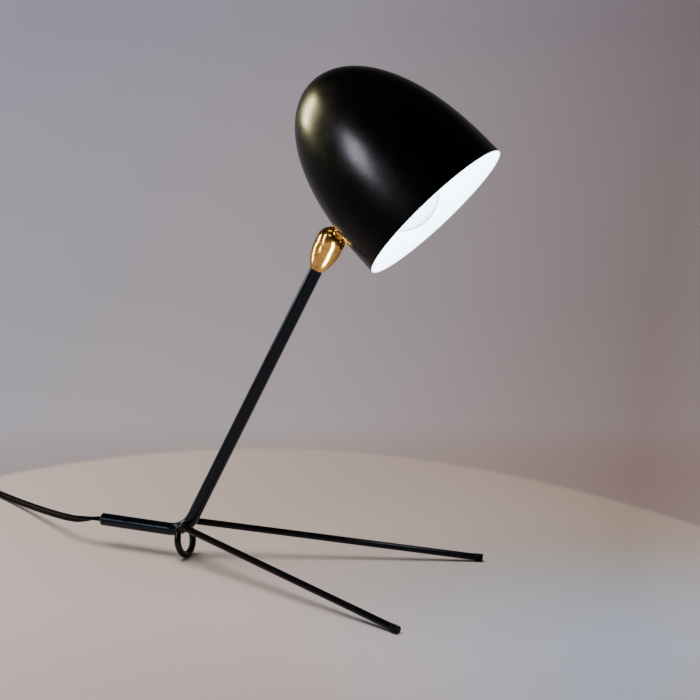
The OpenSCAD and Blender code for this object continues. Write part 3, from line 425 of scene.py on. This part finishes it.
# --- places of the arm and head, as the CAD source has them ----------------------------------
CORNER = Vector((-87.5438, 0, 21))
BALL = Vector((37.5901, 0, 261.38))
RIM = Vector((120.519, 0, 288.528))
ARM_LEAN, STEM_LEAN, SHADE_TILT = (math.radians(d) for d in (27.5, 49.1301, 42.5))
ARM_DIR = Vector((math.sin(ARM_LEAN), 0, math.cos(ARM_LEAN)))
STEM_DIR = Vector((math.sin(STEM_LEAN), 0, math.cos(STEM_LEAN)))
SHADE_X = Vector((math.cos(SHADE_TILT), 0, -math.sin(SHADE_TILT)))
SHADE_Z = Vector((math.sin(SHADE_TILT), 0, math.cos(SHADE_TILT)))
Y = Vector((0, 1, 0))
# Z of this place runs from the rim plane into the shade
SHADE_PLACE = place_of(RIM, SHADE_Z, -Y, -SHADE_X)

# --- shade -----------------------------------------------------------------------------------
SHADE_R, SHADE_DEPTH, SHADE_POWER, SHADE_WALL = 62.5, 131.0, 2.4, 1.0


def bullet(a, r, depth):
    return r * math.sqrt(max(0.0, 1 - (max(a, 0.0) / depth) ** SHADE_POWER))


SHADE_ROWS, LIP_DEPTH = 72, 0.6


def shade_line(r, depth):
    """Points (radius, depth) of the bullet's curve, from behind the lip to the crown."""
    heights = [depth * math.sin(math.pi / 2 * i / SHADE_ROWS) for i in range(SHADE_ROWS + 1)]
    return [(bullet(a, r, depth), a) for a in heights if a > LIP_DEPTH]


outer_line = shade_line(SHADE_R, SHADE_DEPTH)
inner_line = shade_line(SHADE_R - SHADE_WALL, SHADE_DEPTH - SHADE_WALL)
outer_line[-1] = (0.0, SHADE_DEPTH)
inner_line[-1] = (0.0, SHADE_DEPTH - SHADE_WALL)
# the cut edge, with its corners just broken: distance from the wall's face, and depth
BROKEN = ((0.0, 0.35), (0.12, 0.1), (0.3, 0.0))
lip = ([(SHADE_R - SHADE_WALL + d, a) for d, a in BROKEN]
       + [(SHADE_R - d, a) for d, a in reversed(BROKEN)])
profile = list(reversed(inner_line)) + lip + outer_line
WHITE_IN, BLACK_OUT = 1, 0
# the white lacquer, which also carries the painted glow of the bulb's light, ends on the cut edge
white_rings = len(inner_line) + 4
indices = [WHITE_IN] * white_rings + [BLACK_OUT] * (len(profile) - white_rings)
shade = lathe("shade_bell", profile, SHADE_PLACE, "head", 192, indices)
shade.data.materials.append(SHADE_BLACK)
shade.data.materials.append(SHADE_WHITE_PAINTED_GLOW)
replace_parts(shade, "shade")

# --- leads inside the tube and the head ------------------------------------------------------
X = Vector((1, 0, 0))
BEND_R, BEND_TURN = 25.0, math.pi / 2 - ARM_LEAN
bend_run = BEND_R * math.tan(BEND_TURN / 2)
bend_in = (ARM_DIR - ARM_DIR.x * X).normalized()
bend_mid = CORNER - bend_run * X + BEND_R * bend_in
# the lead in the arm ends this far from the ball's middle
BEND_STEPS, LEAD_END = 14, 9.6
bend_angles = [BEND_TURN * i / BEND_STEPS for i in range(BEND_STEPS + 1)]
bend = [bend_mid + BEND_R * (math.sin(a) * X - math.cos(a) * bend_in) for a in bend_angles]
tube_route = [EXIT] + bend + [BALL - LEAD_END * ARM_DIR]
tube_lead = twin_lead("tube_lead", tube_route, directions(tube_route, (1, 0, 0), ARM_DIR),
                      [FLAT] * len(tube_route), "stand")
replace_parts(tube_lead, "inner_lead")

STEM_BACK, STEM_LEN, BULB_OFF, PLATE_A = 41.0, 15.6, 9.5, 112.5
WALL_SLOPE = STEM_LEAN - SHADE_TILT


def in_shade(x, y, z):
    return RIM + x * SHADE_X + y * Y + z * SHADE_Z


def on_stem(h):
    k = h - STEM_LEN
    return in_shade(-STEM_BACK + k * math.sin(WALL_SLOPE), 0,
                    -bullet(STEM_BACK, SHADE_R, SHADE_DEPTH) + k * math.cos(WALL_SLOPE))


def on_strap(t, y, h):
    return in_shade(-STEM_BACK - t * (PLATE_A - STEM_BACK), y, -BULB_OFF - h)


ON_STEM = (-5.5, 2, 10, 18, 24)
ON_STRAP = ((0.02, 1.5, 36.5), (0.11, 5, 29), (0.24, 9, 25), (0.39, 11.5, 23.5), (0.55, 12, 23),
            (0.7, 11.5, 22), (0.825, 11.3, 21.5), (0.916, 10.8, 20.1), (0.955, 8.5, 11.3))
HEAD_ROUTE = [on_stem(h) for h in ON_STEM] + [on_strap(*p) for p in ON_STRAP]
head_points = smooth_run(HEAD_ROUTE, LEAD_PER)
# it lies flat in the shade's own frame
head_dirs = directions(head_points, STEM_DIR, HEAD_ROUTE[-1] - HEAD_ROUTE[-2])
head_twin = twin_lead("head_twin", head_points, head_dirs, [FLAT] * len(head_points), "head",
                      SHADE_Z)
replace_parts(head_twin, "head_lead")

# --- finishes of the CAD pieces --------------------------------------------------------------
FINISH = {
    "stem_tube": TUBE_BLACK, "leg_left": ROD_BLACK, "leg_right": ROD_BLACK, "foot_loop": ROD_BLACK,
    "weld_beads": WELD_BLACK, "foot_tip_left": RUBBER, "foot_tip_right": RUBBER,
    "rear_bush": BLACK_MATT, "tube_nipple": STEEL, "turn_washer": NYLON, "swivel_cup": BRASS_PAINTED_REFLECTIONS,
    "swivel_dome": BRASS_PAINTED_REFLECTIONS, "disc_springs": STEEL, "friction_seat": NYLON, "swivel_ball": BALL_BRASS,
    "stem_collar": BRASS_PAINTED_REFLECTIONS, "stem_nut": STEEL, "holder_bracket": WHITE_STEEL, "holder_nipple": STEEL,
    "holder_nut": STEEL, "holder_sleeve": PORCELAIN, "holder_back": PORCELAIN,
    "thread_shell": BULB_SHELL, "holder_core": NYLON, "centre_contact": CONTACT_BRASS,
    "bulb_globe": BULB_GLASS, "bulb_cap": BULB_SHELL, "bulb_insulator": BLACK_MATT,
    "switch_bottom": BLACK_PLASTIC, "switch_top": BLACK_PLASTIC, "switch_screws": STEEL,
    "switch_contacts": CONTACT_BRASS, "switch_pin": STEEL, "switch_rocker": BLACK_PLASTIC,
    "plug_relief": CORD_BLACK, "plug_body": BLACK_PLASTIC, "plug_pins": NICKEL,
}
# pieces with moulded or broken edges: bevel width in millimetres
BEVEL = {
    "switch_bottom": 0.7, "switch_top": 1.2, "switch_rocker": 0.35, "plug_body": 1.3,
    "plug_relief": 0.2, "stem_nut": 0.3, "holder_nut": 0.3, "holder_sleeve": 0.5,
    "holder_back": 0.4, "stem_collar": 0.3, "swivel_dome": 0.12, "swivel_cup": 0.12,
    "rear_bush": 0.25, "foot_tip_left": 0.3, "foot_tip_right": 0.3,
}
WELD_DISTANCE, SHARP_EDGE = 1e-6, math.radians(32)
for name, finish in FINISH.items():
    node = NODES[name]
    node.data.materials.clear()
    node.data.materials.append(finish)
    for face in node.data.polygons:
        face.use_smooth = True
        face.material_index = 0
    weld = node.modifiers.new("weld", "WELD")
    weld.merge_threshold = WELD_DISTANCE
    if name in BEVEL:
        bevel = node.modifiers.new("bevel", "BEVEL")
        bevel.width = BEVEL[name] * MM
        bevel.segments = 3
        bevel.limit_method = "ANGLE"
        bevel.angle_limit = SHARP_EDGE
        bevel.harden_normals = True
    else:
        split = node.modifiers.new("split", "EDGE_SPLIT")
        split.split_angle = SHARP_EDGE

# --- floor, light and surroundings -----------------------------------------------------------
FLOOR_R, FLOOR_SIDES = 14.0, 96
floor_mesh = mesh_of("floor", [(FLOOR_R * math.cos(2 * math.pi * k / FLOOR_SIDES),
                                FLOOR_R * math.sin(2 * math.pi * k / FLOOR_SIDES), 0)
                               for k in range(FLOOR_SIDES)], [tuple(range(FLOOR_SIDES))])
floor = bpy.data.objects.new("floor", floor_mesh)
bpy.context.scene.collection.objects.link(floor)


# The paper under the lamp ends at a shallow arc behind it. Across is the distance to the right
# and behind the distance away, both in metres, as one stands before the lamp, STAND_BACK from it.
# ARC has the arc's square, slope and start.
FLOOR_TURN = math.radians(-LOOK_LEFT)
ARC = (-1.68, -0.112, 0.332)
ARC_BLUR = 0.012
STAND_BACK, LEAST_AHEAD = 1.53, 1.0
# share of right to ahead at the picture's edges, and where the floor's tones end
VIEW_EDGE, VIEW_END = 0.17, 0.85
FRONT_END, FRONT_START = -0.15, 0.08
BLACK, WHITE = (0, 0, 0), (1, 1, 1)
MIX_A, MIX_B, MIX_RESULT = 6, 7, 2


def fill_ramp(ramp, stops):
    for k, (at, color) in enumerate(stops):
        element = ramp.color_ramp.elements[k] if k < 2 else ramp.color_ramp.elements.new(at)
        element.position, element.color = at, (*color, 1)


def floor_material():
    """Pale paper on a cooler floor, warm at the left, with painted light: brighter at the left,
    painted shade at the right and a painted bluish pool of the lamp's light at the front right.
    """
    mat = bpy.data.materials.new("floor")
    mat.use_nodes = True
    nodes, link = mat.node_tree.nodes, mat.node_tree.links.new
    shader = nodes["Principled BSDF"]
    shader.inputs["Roughness"].default_value = 0.75
    shader.inputs["Specular IOR Level"].default_value = 0.25

    def math_node(operation, *values):
        node = nodes.new("ShaderNodeMath")
        node.operation = operation
        for socket, value in zip(node.inputs, values):
            if isinstance(value, (int, float)):
                socket.default_value = value
            else:
                link(value, socket)
        return node.outputs["Value"]

    def tones(value, low, high, stops):
        span = nodes.new("ShaderNodeMapRange")
        set_range(span, "From", low, high)
        link(value, span.inputs["Value"])
        ramp = nodes.new("ShaderNodeValToRGB")
        fill_ramp(ramp, stops)
        link(span.outputs["Result"], ramp.inputs["Fac"])
        return ramp.outputs["Color"]

    def mix(kind, share, a, b):
        """A mix of colours, whose sockets share their names with those for other data."""
        node = nodes.new("ShaderNodeMix")
        node.data_type, node.blend_type = "RGBA", kind
        if isinstance(share, (int, float)):
            node.inputs["Factor"].default_value = share
        else:
            link(share, node.inputs["Factor"])
        link(a, node.inputs[MIX_A])
        link(b, node.inputs[MIX_B])
        return node.outputs[MIX_RESULT]

    place = nodes.new("ShaderNodeTexCoord")
    turned = nodes.new("ShaderNodeMapping")
    turned.inputs["Rotation"].default_value = (0, 0, FLOOR_TURN)
    link(place.outputs["Object"], turned.inputs["Vector"])
    split = nodes.new("ShaderNodeSeparateXYZ")
    link(turned.outputs["Vector"], split.inputs["Vector"])
    across, behind = split.outputs["X"], split.outputs["Y"]
    square, slope, start = ARC
    steepness = math_node("MULTIPLY_ADD", across, square, slope)
    arc = math_node("MULTIPLY_ADD", steepness, across, start)
    beyond = math_node("SUBTRACT", behind, arc)
    edge = tones(beyond, 0.0, ARC_BLUR, ((0.0, BLACK), (1.0, WHITE)))
    # tones of the paper and of the floor behind it, each from near to far; on the paper they are
    # painted light, brightest just in front of the lamp
    paper = tones(behind, -0.6, 0.4, ((0.36, (0.86, 0.745, 0.72)), (0.52, (0.97, 0.86, 0.825)),
                                      (1.0, (0.88, 0.76, 0.7))))
    far = tones(behind, 0.25, 5.0, ((0.0, (0.56, 0.46, 0.45)), (0.018, (0.58, 0.49, 0.49)),
                                    (0.035, (0.61, 0.55, 0.6)), (0.15, (0.54, 0.5, 0.55)),
                                    (1.0, (0.44, 0.42, 0.52))))
    ahead = math_node("MAXIMUM", math_node("ADD", behind, STAND_BACK), LEAST_AHEAD)
    right = math_node("DIVIDE", across, ahead)

    def painted_light_across_view(left, middle, edge_right):
        """Painted light and shade from the left edge of the picture to its right edge, and plain
        again beyond.
        """
        return tones(right, -VIEW_EDGE, VIEW_END,
                     ((0.0, left), (0.167, middle), (0.333, edge_right), (0.6, middle)))

    # painted light and shade: lighter at the left, darker at the right, with a painted bluish pool
    # of the lamp's light at the front right
    far_painted_light = painted_light_across_view((0.96, 1.0, 1.07), (0.94, 0.9, 0.87), (0.55, 0.46, 0.43))
    front_painted_light = painted_light_across_view((1.04, 0.97, 0.97), (0.81, 0.735, 0.715), (0.53, 0.64, 0.79))
    back = painted_light_across_view((1.06, 0.98, 0.95), (0.76, 0.7, 0.64), (0.45, 0.39, 0.34))
    depth = tones(behind, FRONT_END, FRONT_START, ((0.0, BLACK), (1.0, WHITE)))
    near_color = mix("MULTIPLY", 1.0, paper, mix("MIX", depth, front_painted_light, back))
    color = mix("MIX", edge, near_color, mix("MULTIPLY", 1.0, far, far_painted_light))
    link(color, shader.inputs["Base Color"])
    fibre = nodes.new("ShaderNodeTexNoise")
    fibre.inputs["Scale"].default_value = 260
    fibre.inputs["Detail"].default_value = 5
    link(place.outputs["Object"], fibre.inputs["Vector"])
    relief = nodes.new("ShaderNodeBump")
    relief.inputs["Distance"].default_value = 0.00012
    link(fibre.outputs["Fac"], relief.inputs["Height"])
    link(relief.outputs["Normal"], shader.inputs["Normal"])
    return mat


floor.data.materials.append(floor_material())


def lamp(name, kind, towards, energy, color, reach=3.0, glossy=True, diffuse=True, only=None,
         **settings):
    """A light that shines from direction towards onto the lamp; only limits what it falls on."""
    data = bpy.data.lights.new(name, kind)
    data.energy, data.color = energy, color
    for key, value in settings.items():
        setattr(data, key, value)
    obj = bpy.data.objects.new(name, data)
    direction = Vector(towards).normalized()
    obj.location = AIM + direction * reach
    obj.rotation_euler = direction.to_track_quat("Z", "Y").to_euler()
    obj.visible_glossy, obj.visible_diffuse = glossy, diffuse
    if only:
        obj.visible_camera = False
        obj.light_linking.receiver_collection = only
    bpy.context.scene.collection.objects.link(obj)


# the middle of the lamp, where every light points
AIM = Vector((0.03, 0, 0.22))
lamp("overhead", "SUN", (-0.25, -0.05, 1.0), 2.46, (1.0, 0.985, 0.96), glossy=False,
     angle=math.radians(45))


def receivers(name, objects):
    """A collection of the objects that a light may fall on."""
    group = bpy.data.collections.new(name)
    for obj in objects:
        group.objects.link(obj)
    return group


SHADE_ONLY = receivers("shade_only", [shade])
OTHER_FINISHES = (BRASS_PAINTED_REFLECTIONS, BULB_GLASS, CORD_BLACK)
FRAME_ONLY = receivers("frame_only", [NODES[n] for n in FINISH if FINISH[n] not in OTHER_FINISHES])
BRASS_ONLY = receivers("brass_only", [NODES[n] for n in FINISH if FINISH[n] == BRASS_PAINTED_REFLECTIONS])
WINDOW, SOFTBOX = (-0.95, 0.05, 0.34), (-0.425, -0.80, 0.36)
# seen only as highlights: name, direction, reach, energy, colour, size, what they fall on
HIGHLIGHTS = (
    ("window", WINDOW, 2.4, 360, (1.0, 0.9, 0.48), (0.46, 1.05), SHADE_ONLY),
    ("softbox", SOFTBOX, 2.4, 180, (1.0, 0.95, 0.95), (0.46, 0.85), SHADE_ONLY),
    ("window_glow", WINDOW, 2.4, 22, (0.85, 0.93, 1.0), (0.4, 1.3), FRAME_ONLY),
    ("softbox_glow", SOFTBOX, 2.4, 18, (0.8, 0.92, 1.0), (0.4, 0.45), FRAME_ONLY),
    ("right_streak", (0.5, -0.5, -0.7), 0.2, 5.0, (1.0, 0.96, 0.76), (0.05, 0.5), BRASS_ONLY),
    ("left_streak", (-0.985, -0.17, 0.2), 0.25, 0.9, (1.0, 0.93, 0.76), (0.03, 0.26), BRASS_ONLY),
    ("middle_streak", (-0.5, -0.8, 0.45), 0.3, 0.8, (1.0, 0.88, 0.64), (0.026, 0.4), BRASS_ONLY),
)
for name, towards, reach, energy, color, size, only in HIGHLIGHTS:
    lamp(name, "AREA", towards, energy, color, reach=reach, diffuse=False, only=only,
         shape="RECTANGLE", size=size[0], size_y=size[1])


def surroundings():
    """A dim room, lighter low down than overhead."""
    world = bpy.data.worlds.new("surroundings")
    bpy.context.scene.world = world
    world.use_nodes = True
    nodes, link = world.node_tree.nodes, world.node_tree.links.new
    back = nodes["Background"]
    place = nodes.new("ShaderNodeTexCoord")
    split = nodes.new("ShaderNodeSeparateXYZ")
    link(place.outputs["Generated"], split.inputs["Vector"])
    ramp = nodes.new("ShaderNodeValToRGB")
    fill_ramp(ramp, ((0.0, (0.22, 0.205, 0.21)), (0.2, (0.19, 0.18, 0.185)),
                     (0.5, (0.05, 0.047, 0.05)), (1.0, (0.03, 0.03, 0.033))))
    link(split.outputs["Z"], ramp.inputs["Fac"])
    link(ramp.outputs["Color"], back.inputs["Color"])
    back.inputs["Strength"].default_value = 1.0


surroundings()
